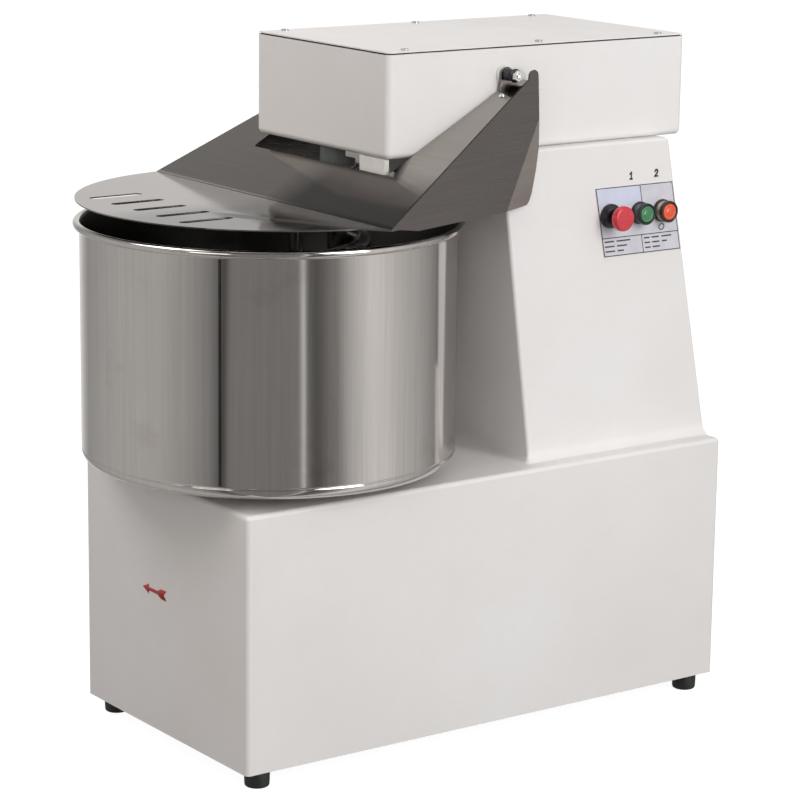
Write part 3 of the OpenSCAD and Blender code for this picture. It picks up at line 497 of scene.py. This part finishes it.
ARM_TIP = Vector(on_slope(ARM_W, ARM_L))
FOLD_TIP = Vector(on_slope(HALF_W, 0))
wing_run = (ARM_TIP - FOLD_TIP).to_2d()
WING_L, WING_DIR = wing_run.length, wing_run.normalized()
RISE = ARM_TIP.z - FOLD_TIP.z


def on_wing(s, h):
    return (FOLD_TIP.x + WING_DIR.x * s, FOLD_TIP.y + WING_DIR.y * s, FOLD_TIP.z + h)


def on_flap(s, h):
    """The rear corner leans inwards by a tenth of its distance from the fold."""
    ax, ay = CREASE_A[0] - CREASE_B[0], CREASE_A[1] - CREASE_B[1]
    away = max(0, (ay * (s - CREASE_B[0]) - ax * (h - CREASE_B[1])) / math.hypot(ax, ay))
    x, y, z = on_wing(s, h)
    return (x - WING_DIR.y * away * 0.10, y + WING_DIR.x * away * 0.10, z)


def sheet_faces(loops, place):
    """Fills a flat outline with holes and maps its points into space."""
    pts, faces = [], []
    for loop in loops:
        start = len(pts)
        pts += [Vector(p) for p in loop]
        faces.append(list(range(start, len(pts))))
    vs, _, fs, *_ = delaunay_2d_cdt(pts, [], faces, 5, 1e-7)
    return [place(*p) for p in vs], fs


def stadium(cx, cy, w, l, n=8):
    r = w / 2
    return ([(cx + r * math.cos(a), cy + l / 2 - r + r * math.sin(a))
             for a in (math.pi * i / n for i in range(n + 1))]
            + [(cx + r * math.cos(a), cy - l / 2 + r + r * math.sin(a))
               for a in (math.pi + math.pi * i / n for i in range(n + 1))])


front = [(x, y) for x, y in arc(0, BOWL_C.y + 0.017, 0.245, 192.5, 347.5, 72)]
plate_loop = front + [(HALF_W, FOLD_Y), (-HALF_W, FOLD_Y)]
slots = [stadium((i - 2) * 0.0505, FOLD_Y - 0.150, 0.0125, 0.070) for i in range(5)]
slope_half = [(HALF_W, 0), (ARM_W, ARM_L), (ARM_IN, ARM_L), (ARM_IN, NOTCH_V + 0.006),
              (ARM_IN - 0.002, NOTCH_V + 0.001), (ARM_IN - 0.006, NOTCH_V)]
slope_loop = [(-HALF_W, 0)] + slope_half + [(-x, v) for x, v in slope_half[:0:-1]]
# the wing: main part, and the rear corner turned inwards along a slanting fold
CREASE_A, CREASE_B = (0.2945, 0.094), (0.2290, -0.0105)
ear_tip = [(0.0, 0.0), (0.0015, 0.007), (0.005, 0.0105), (0.0125, 0.0115), (0.0185, 0.009), (0.0212, 0.004)]
wing_loop = [(0, 0)] + [(WING_L + s, RISE + h) for s, h in ear_tip]
wing_loop += [CREASE_A, CREASE_B, (0.154, -0.0102), (0.050, -0.0100), (0.012, -0.004)]
flap_loop = [CREASE_B, CREASE_A, (0.2982, 0.059), (0.2950, 0.032), (0.2881, 0.0047), (0.2828, -0.0052),
             (0.2775, -0.0089)]

verts, faces = [], []


def take(part):
    vs, fs = part
    start = len(verts)
    verts.extend(vs)
    faces.extend([start + i for i in f] for f in fs)


take(sheet_faces([plate_loop] + slots, on_plate))
take(sheet_faces([slope_loop], on_slope))
for sign in (1, -1):
    for loop, place in ((wing_loop, on_wing), (flap_loop, on_flap)):
        vs, fs = sheet_faces([loop], place)
        take(([(sign * x, y, z) for x, y, z in vs], [f if sign > 0 else f[::-1] for f in fs]))
guard = piece("guard_sheet", verts, faces, GUARD_MAT, body="guard_body", replaces=("guard",),
              slot="stainless")
tidy(guard)
bevel(guard, 0.0028, 4, 12, harden=False)
thicken(guard, 0.0015)
apply_all(guard)
guard.data.polygons.foreach_set("use_smooth", [True] * len(guard.data.polygons))
guard.data.set_sharp_from_angle(angle=math.radians(35))
guard.data.materials.append(WING_SHADED_MAT)
guard.data.materials.append(FLAP_LIT_MAT)
# painted shade: a near-black steel for the faces along the crease between slope and wing
guard.data.materials.append(machined("fold_painted_shade", (0.075, 0.070, 0.067), (0.38, 0.52)))
fold_run = (ARM_TIP - FOLD_TIP).normalized()
for poly in guard.data.polygons:
    c = poly.center
    from_tip = Vector((abs(c.x), c.y, c.z)) - FOLD_TIP
    along = from_tip.dot(fold_run)
    # faces along the crease take the painted shade
    if (from_tip - fold_run * along).length < 0.0034 and 0.01 < along < 0.33:
        poly.material_index = 3
        continue
    back = Vector((abs(c.x) - FOLD_TIP.x, c.y - FOLD_TIP.y)).dot(WING_DIR)
    ax, ay = CREASE_A[0] - CREASE_B[0], CREASE_A[1] - CREASE_B[1]
    past_fold = ay * (back - CREASE_B[0]) - ax * (c.z - FOLD_TIP.z - CREASE_B[1]) > 0.0005
    # sideways faces take the shaded copy of the steel, and past the slanting fold the lit copy
    if abs(poly.normal.x) > 0.6:
        poly.material_index = 2 if past_fold else 1

PIN_Y, PIN_Z = 0.0755, 0.809
STRIP_SCREW = (0.157, 0.0586, 0.7864)
TILT = Matrix.Rotation(SLOPE, 4, "X")
for sign, label in ((1, "right"), (-1, "left")):
    def ear_frame(u, v, w, sign=sign):
        return (sign * (ARM_IN + w), u, v)

    foot = [(PIN_Y - 0.010, GUARD_Z - 0.0005 + (PIN_Y - 0.010 - FOLD_Y) * math.tan(SLOPE)),
            (PIN_Y + 0.012, GUARD_Z - 0.0005 + (PIN_Y + 0.012 - FOLD_Y) * math.tan(SLOPE))]
    ear = foot + arc(PIN_Y, PIN_Z, 0.009, 0, 160, 12)
    prism(f"guard_ear_{label}", ear, 0.0005, 0.0025, WING_SHADED_MAT, ear_frame, 0.0004,
          body="guard_body", slot="stainless")
    x = sign * (ARM_IN + 0.0025)
    flip = "X" if sign > 0 else "-X"
    lathe(f"hinge_cap_{label}",
          [(0, 0.0112), (0.0038, 0.0110)] + arc(0.0045, 0.0088, 0.0020, 80, 0, 5)
          + [(0.0066, 0.0070), (0.0066, 0.0062), (0.0072, 0.0058), (0.0072, 0.0010), (0.0066, 0.0004),
             (0.0060, -0.012), (0, -0.012)],
          MATS["black_plastic"], (x, PIN_Y, PIN_Z), flip, 48, body="guard_body",
          replaces=("hinge_pins",), slot="black_plastic")
    lathe(f"hinge_nut_{label}",
          [(0, 0.0255), (0.0030, 0.0250), (0.0034, 0.0235), (0.0034, 0.0232), (0.0062, 0.0232),
           (0.0066, 0.0224), (0.0066, 0.0176), (0.0062, 0.0168), (0.0034, 0.0168),
           (0.0034, 0.0100), (0, 0.0100)],
          BRIGHT, (x, PIN_Y, PIN_Z), flip, 6, body="guard_body", smooth=False)
    lathe(f"hinge_washer_{label}", [(0.0034, 0.0160), (0.0080, 0.0160), (0.0083, 0.0154), (0.0083, 0.0148),
                                    (0.0080, 0.0142), (0.0034, 0.0142)],
          MATS["black_plastic"], (x, PIN_Y, PIN_Z), flip, 40, body="guard_body")
    screw = lathe(f"strip_screw_{label}",
                  [(0, 0.0022), (0.0010, 0.0023), (0.0022, 0.0019), (0.0036, 0.0014),
                   (0.0043, 0.0006), (0.0044, -0.0004)],
                  BRIGHT, (0, 0, 0), steps=32, body="guard_body")
    screw.data.transform(Matrix.Translation((sign * STRIP_SCREW[0], *STRIP_SCREW[1:])) @ TILT)


# ---------------------------------------------------------------- spiral and shafts

def sweep(name, points, radius, mat, sides=24, **kw):
    """A round bar along a smooth run of points, with domed ends."""
    verts, faces = [], []
    pts = [Vector(p) for p in points]
    up = Vector((0, 0, 1))
    for i, p in enumerate(pts):
        d = (pts[min(i + 1, len(pts) - 1)] - pts[max(i - 1, 0)]).normalized()
        a = up.cross(d)
        a = a.normalized() if a.length > 1e-4 else Vector((1, 0, 0))
        b = d.cross(a)
        shrink = 0.75 if i in (0, len(pts) - 1) else 1.0
        verts += [p + radius * shrink * (math.cos(2 * math.pi * k / sides) * a
                                         + math.sin(2 * math.pi * k / sides) * b) for k in range(sides)]
    for i in range(len(pts) - 1):
        for k in range(sides):
            j = (k + 1) % sides
            faces.append([i * sides + k, (i + 1) * sides + k, (i + 1) * sides + j, i * sides + j])
    faces += [list(range(sides)), list(range((len(pts) - 1) * sides, len(pts) * sides))[::-1]]
    obj = piece(name, verts, faces, mat, **kw)
    tidy(obj)
    return obj


SPIRAL_C = (lo("spiral_shaft") + hi("spiral_shaft")) / 2
HELIX_R, HELIX_HIGH, HELIX_LOW = 0.088, 0.590, BOWL_Z0 + 0.021


def helix_point(t):
    if t < 0.2:
        u = t / 0.2
        r, a = HELIX_R * math.sin(math.pi / 2 * u), -math.radians(60) * u * u
        z = HELIX_HIGH + 0.022 * math.cos(math.pi / 2 * u)
    else:
        u = (t - 0.2) / 0.8
        inward = max(0, (u - 0.86) / 0.14)
        r, a = HELIX_R * (1 - 0.55 * inward ** 2), -math.radians(60 + 486 * u)
        z = HELIX_HIGH - (HELIX_HIGH - HELIX_LOW) * min(1, u / 0.93)
    return (SPIRAL_C.x + r * math.cos(a), SPIRAL_C.y + r * math.sin(a), z)


ROUND_STEEL = steel("round_steel", (0.58, 0.56, 0.54), (40, 40, 40), (0.16, 0.28), 0.04)
sweep("spiral_bar", [helix_point(0.02 + 0.98 * i / 150) for i in range(151)], 0.011, ROUND_STEEL,
      body="spiral_body", replaces=("spiral_tool",), slot="stainless")
lathe("spiral_hub", [(0, 0.590), (0.0185, 0.590)] + arc(0.0185, 0.5935, 0.0035, -90, 0, 4)
      + [(0.022, 0.648)] + arc(0.019, 0.652, 0.003, 0, 90, 4) + [(0, 0.655)],
      ROUND_STEEL, (SPIRAL_C.x, SPIRAL_C.y, 0), body="spiral_body", slot="stainless")
frame["nodes"]["breaker_bar"].data.materials[0] = ROUND_STEEL


# ---------------------------------------------------------------- feet

FOOT_LO, FOOT_HI = lo("rubber_feet"), hi("rubber_feet")
for i, (sx, fy) in enumerate([(sx, fy) for sx in (-1, 1) for fy in (FOOT_LO.y + 0.015, FOOT_HI.y - 0.015)]):
    lathe(f"foot_{i}", [(0, 0.0012), (0.006, 0.0), (0.0115, 0.0)] + arc(0.0118, 0.0030, 0.0030, -85, 0, 5)
          + [(0.0150, 0.0060), (0.0153, 0.0165), (0.0147, 0.0180), (0.0147, FOOT_HI.z), (0, FOOT_HI.z)],
          MATS["black_rubber"], (sx * (FOOT_HI.x - 0.015), fy, 0), steps=48,
          replaces=("rubber_feet",), slot="black_rubber")


# ---------------------------------------------------------------- controls

BTN_Z = (lo("start_cap").z + hi("start_cap").z) / 2
SIDE_X = COL_HI.x
ESTOP_Y = (lo("estop_head").y + hi("estop_head").y) / 2
START_Y = (lo("start_cap").y + hi("start_cap").y) / 2
STOP_Y = (lo("stop_cap").y + hi("stop_cap").y) / 2
SHEAR = LEAN_B / LEAN_RISE
LBL_TOP = hi("control_label").z
LBL_Y = lo("control_label").y


def on_label(u, v):
    """u from the label's left edge, v down from its top, both in millimetres."""
    return (LBL_Y + u * MM + v * MM * SHEAR, LBL_TOP - v * MM)


label_outline = [on_label(0, 0), on_label(122, 0), on_label(122, 86), on_label(0, 86)]
prism("label_plate", label_outline, 0.0, 0.0008, MATS["label_film"], side, 0.0003,
      replaces=("control_label",), slot="label_film")


def strips(name, boxes, w0, w1, mat):
    """Thin raised marks: each box is u0, v0, u1, v1 on the label."""
    verts, faces = [], []
    for u0, v0, u1, v1 in boxes:
        k = len(verts)
        corners = [on_label(u0, v1), on_label(u1, v1), on_label(u1, v0), on_label(u0, v0)]
        verts += [side(y, z, w) for w in (w0, w1) for y, z in corners]
        faces += [[k + 3, k + 2, k + 1, k], [k + 4, k + 5, k + 6, k + 7]]
        faces += [[k + i, k + (i + 1) % 4, k + 4 + (i + 1) % 4, k + 4 + i] for i in range(4)]
    return piece(name, verts, faces, mat, smooth=False)


strips("label_blue_cell", [(1.1, 1.1, 69.5, 22)], 0.0008, 0.00085,
       plastic("pale_blue_film", (0.55, 0.59, 0.72), (0.3, 0.4), 300, 0.02))
marks = [(0, 0, 122, 1.1), (0, 84.9, 122, 86), (0, 0, 1.1, 86), (120.9, 0, 122, 86),
         (0, 62.3, 122, 63.4), (62, 63, 63, 86), (69.5, 0, 70.5, 24)]
for row, (a, b) in enumerate(((66.5, 68.3), (72.6, 74.4), (78.7, 80.5))):
    for left, runs in ((3, ((0, 15), (19, 41 - 6 * row))), (66, ((0, 9), (12, 24), (28, 44 - 8 * row)))):
        marks += [(left + r0, a, left + r1, b) for r0, r1 in runs]
strips("label_lines", marks, 0.0008, 0.00095, INK)


def bent_ring(name, y, z, rx, rz, width, w0, w1, mat, steps=28):
    verts, faces = [], []
    for i in range(steps):
        a = 2 * math.pi * i / steps
        for k in (0, 1):
            verts += [side(y + (rx - k * width) * math.cos(a), z + (rz - k * width) * math.sin(a), w)
                      for w in (w0, w1)]
    for i in range(steps):
        a, b = 4 * i, 4 * ((i + 1) % steps)
        faces += [[a + 1, b + 1, b + 3, a + 3], [a, a + 1, b + 1, b], [a + 3, b + 3, b + 2, a + 2],
                  [a, b, b + 2, a + 2]]
    obj = piece(name, verts, faces, mat, smooth=False)
    tidy(obj)
    return obj


oy, oz = on_label(96, 55.5)
bent_ring("stop_symbol", oy, oz, 0.0048, 0.0042, 0.0013, 0.0008, 0.00095, INK)


def stroke_marks(name, y, z, h, strokes, width=0.0021):
    """A numeral drawn as short bars; points run across and up within a unit box."""
    verts, faces = [], []
    for (ax, ay), (bx, by) in strokes:
        a, b = Vector((y + ax * h, z + ay * h)), Vector((y + bx * h, z + by * h))
        d = (b - a).normalized() * width / 2
        n = Vector((-d.y, d.x))
        k = len(verts)
        for w in (0.0, 0.0003):
            verts += [side(*p, w) for p in (a - d - n, b + d - n, b + d + n, a - d + n)]
        faces += [[k + 3, k + 2, k + 1, k], [k + 4, k + 5, k + 6, k + 7]]
        faces += [[k + i, k + (i + 1) % 4, k + 4 + (i + 1) % 4, k + 4 + i] for i in range(4)]
    return piece(name, verts, faces, INK, smooth=False)


ONE = [((0.0, 0.0), (0.0, 1.0)), ((0.0, 1.0), (-0.22, 0.78)), ((-0.18, 0.0), (0.18, 0.0))]
TWO = [((-0.26, 0.78), (-0.12, 0.97)), ((-0.12, 0.97), (0.12, 0.97)), ((0.12, 0.97), (0.26, 0.76)),
       ((0.26, 0.76), (0.18, 0.52)), ((0.18, 0.52), (-0.26, 0.02)), ((-0.26, 0.02), (0.28, 0.02))]
stroke_marks("numeral_one", 0.2635, 0.6708, 0.0080, ONE)
stroke_marks("numeral_two", 0.3035, 0.6712, 0.0080, TWO)


def button(name, y, sleeve_mat, colour):
    """A push button: black foot, threaded sleeve, dark rim and a coloured face in it."""
    cap_node = f"{name}_cap"
    top = hi(cap_node).x - SIDE_X
    foot = [(0.0105, 0.0), (0.0136, 0.0), (0.0140, 0.0006), (0.0140, 0.0036), (0.0134, 0.0044),
            (0.0124, 0.0046), (0.0105, 0.0048)]
    lathe(f"{name}_foot", foot, MATS["black_plastic"], (SIDE_X, y, BTN_Z), "X", 64,
          replaces=("button_bodies",), slot="black_plastic")
    sleeve = [(0.0105, 0.0044)]
    for k in range(5):
        h = 0.0048 + 0.0013 * k
        sleeve += [(0.0122, h), (0.0127, h + 0.0004), (0.0127, h + 0.0009), (0.0122, h + 0.0013)]
    lathe(f"{name}_sleeve", sleeve + [(0.0105, 0.0116)], sleeve_mat, (SIDE_X, y, BTN_Z), "X", 64)
    rim = [(0.0105, 0.0110), (0.0130, 0.0112), (0.0134, 0.0118)]
    rim += arc(0.0124, top - 0.0012, 0.0010, 0, 90, 4)
    rim += [(0.0114, top - 0.0003), (0.0108, top - 0.0010), (0.0106, top - 0.0030)]
    lathe(f"{name}_rim", rim, MATS["black_plastic"], (SIDE_X, y, BTN_Z), "X", 64)
    face = [(0, top + 0.0002), (0.0058, top), (0.0064, top - 0.0005), (0.0070, top - 0.0001)]
    face += arc(0.0091, top - 0.0012, 0.0011, 90, 0, 4) + [(0.0103, top - 0.0034), (0, top - 0.0034)]
    lathe(f"{name}_face", face, MATS[colour], (SIDE_X, y, BTN_Z), "X", 64, body=f"{name}_button",
          replaces=(cap_node,), slot=colour)


TAN_METAL = machined("tan_metal", (0.62, 0.50, 0.36), (0.25, 0.4))
DARK_METAL = machined("dark_metal", (0.16, 0.17, 0.17), (0.18, 0.3))
button("start", START_Y, DARK_METAL, "green_plastic")
button("stop", STOP_Y, TAN_METAL, "orange_plastic")

mush = hi("estop_head").x - SIDE_X
lathe("estop_collar", [(0.0072, 0.0), (0.0146, 0.0), (0.0150, 0.0006), (0.0150, 0.0052), (0.0142, 0.0062),
                       (0.0134, 0.0064), (0.0132, 0.0100), (0.0124, 0.0108), (0.0072, 0.0110)],
      MATS["black_plastic"], (SIDE_X, ESTOP_Y, BTN_Z), "X", 72,
      replaces=("estop_body",), slot="black_plastic")
lathe("estop_mushroom",
      [(0, mush - 0.0002), (0.004, mush - 0.0003), (0.0095, mush - 0.0010)]
      + arc(0.0117, mush - 0.0046, 0.0038, 80, 0, 6)
      + [(0.0155, mush - 0.0080), (0.0150, mush - 0.0092), (0.0128, mush - 0.0104),
         (0.0092, mush - 0.0110), (0.0088, mush - 0.0139), (0, mush - 0.0139)],
      MATS["red_plastic"], (SIDE_X, ESTOP_Y, BTN_Z), "X", 72, body="estop_knob",
      replaces=("estop_head",), slot="red_plastic")


# ---------------------------------------------------------------- turning-direction arrow

ARROW_Z = 0.195


def front_face(u, v, w):
    return (-u, BASE_LO.y - w, v)


upper = [(0.034, 0.0065), (0.034, 0.0022), (0.014, 0.0022), (0.006, 0.0062), (-0.0064, 0.0062)]
arrow = [(0.0485, 0.0)] + upper + [(0.0, 0.0)] + [(u, -v) for u, v in upper[::-1]]
prism("direction_arrow", [(u, ARROW_Z + v) for u, v in arrow][::-1], 0.00002, 0.00025,
      RED_INK, front_face)


# ---------------------------------------------------------------- camera, light and floor

cam_data = bpy.data.cameras.new("camera")
cam_data.sensor_width = 36
cam_data.lens = 133.73
cam_data.clip_end = 60
cam = bpy.data.objects.new("camera", cam_data)
bpy.context.scene.collection.objects.link(cam)
CAMERA_AT = (2.92595, -2.06832, 1.21895)
AZ, PITCH, ROLL = (math.radians(a) for a in (54.36, 12.94, 0.72))
fwd = Vector((-math.sin(AZ) * math.cos(PITCH), math.cos(AZ) * math.cos(PITCH), -math.sin(PITCH)))
level_right = Vector((math.cos(AZ), math.sin(AZ), 0))
level_up = level_right.cross(fwd)
cam_right = level_right * math.cos(ROLL) + level_up * math.sin(ROLL)
cam_up = level_up * math.cos(ROLL) - level_right * math.sin(ROLL)
turned = Matrix((cam_right, cam_up, -fwd)).transposed().to_4x4()
cam.matrix_world = Matrix.Translation(CAMERA_AT) @ turned
bpy.context.scene.camera = cam
bpy.context.scene.view_settings.view_transform = "Standard"


def area(name, place, target, size, power, rgb):
    data = bpy.data.lights.new(name, "AREA")
    data.shape = "RECTANGLE"
    data.size, data.size_y = size, size
    data.energy, data.color = power, rgb
    obj = bpy.data.objects.new(name, data)
    obj.location = place
    obj.rotation_euler = (Vector(target) - Vector(place)).to_track_quat("-Z", "Y").to_euler()
    bpy.context.scene.collection.objects.link(obj)


CENTRE = (0, 0, 0.45)
area("key", (3.2, 0.5, 2.0), CENTRE, 1.6, 50, (1.0, 1.0, 1.0))
area("low_key", (3.0, 0.6, 0.80), (0, 0.1, 0.5), 1.0, 18, (0.99, 1.0, 1.0))
area("right_fill", (0.9, -2.2, 1.0), (0.1, 0, 0.5), 0.9, 5, (1.0, 0.955, 0.90))
area("top", (0.2, 0.2, 5.0), CENTRE, 2.6, 30, (1.0, 0.985, 1.0))
area("front_fill", (-0.5, -1.5, 2.2), (0, -0.1, 0.75), 1.1, 16, (1.0, 0.955, 0.95))

world = bpy.data.worlds.new("studio")
bpy.context.scene.world = world
world.use_nodes = True
sky = Graph(world.node_tree)
sky.tree.nodes.clear()
# stops: direction in degrees from +X towards +Y, brightness
BANDS = [(-180, 0.38), (-160, 0.50), (-138, 0.58), (-108, 0.60), (-84, 0.44), (-70, 0.30),
         (-61.5, 0.07), (-58, 0.28), (-32, 0.27), (-16, 0.27), (-13.4, 0.30), (-11.4, 1.05),
         (-9.4, 0.20), (-3, 0.13), (4, 0.22), (11, 0.30), (19, 0.62), (34, 0.92), (44, 0.88),
         (54, 0.72), (72, 0.56), (86, 0.40), (100, 0.14), (118, 0.22), (128, 0.60),
         (136, 0.82), (156, 0.82), (166, 0.62), (180, 0.38)]
WARM = (1.0, 0.985, 0.965)
way = sky.add("ShaderNodeSeparateXYZ")
sky.link(sky.add("ShaderNodeTexCoord").outputs["Generated"], way.inputs[0])
turn = sky.add("ShaderNodeMapRange")
turn.inputs["From Min"].default_value = -math.pi
turn.inputs["From Max"].default_value = math.pi
sky.link(sky.math("ARCTAN2", way.outputs["Y"], way.outputs["X"]), turn.inputs["Value"])
bands = sky.ramp(turn.outputs["Result"],
                 [((deg + 180) / 360, tuple(value * c for c in WARM)) for deg, value in BANDS])
height = sky.ramp(way.outputs["Z"], [(0.22, 1.0), (0.60, 0.55)])


def glow(colour):
    """A background shader of one colour, or of the colour from a socket."""
    node = sky.add("ShaderNodeBackground")
    if isinstance(colour, tuple):
        node.inputs["Color"].default_value = (*colour, 1)
    else:
        sky.link(colour, node.inputs["Color"])
    return node.outputs[0]


def seen_by(ray, if_not, if_so):
    """One shader for this kind of ray, and another for the rest."""
    node = sky.add("ShaderNodeMixShader")
    sky.link(path.outputs[ray], node.inputs[0])
    sky.link(if_not, node.inputs[1])
    sky.link(if_so, node.inputs[2])
    return node.outputs[0]


path = sky.add("ShaderNodeLightPath")
studio = glow(sky.mix(1.0, bands, height, "MULTIPLY"))
lit = seen_by("Is Glossy Ray", glow((0.50, 0.475, 0.445)), studio)
shown = seen_by("Is Camera Ray", lit, glow((1.0, 1.0, 1.0)))
sky.link(shown, sky.add("ShaderNodeOutputWorld").inputs["Surface"])

floor_n = Nodes("floor_white")
floor_n.set(Roughness=0.9, Base_Color=(0.22, 0.22, 0.22, 1), Emission_Color=(1, 1, 1, 1),
            Specular_IOR_Level=0.0)
seen = floor_n.add("ShaderNodeLightPath").outputs["Is Camera Ray"]
floor_n.link(floor_n.math("MULTIPLY", seen, 0.95), floor_n.bsdf.inputs["Emission Strength"])
mesh = bpy.data.meshes.new("floor")
mesh.from_pydata([(-9, -9, 0), (9, -9, 0), (9, 9, 0), (-9, 9, 0)], [], [[0, 1, 2, 3]])
mesh.materials.append(floor_n.mat)
floor = bpy.data.objects.new("floor", mesh)
bpy.context.scene.collection.objects.link(floor)
floor.visible_glossy = False
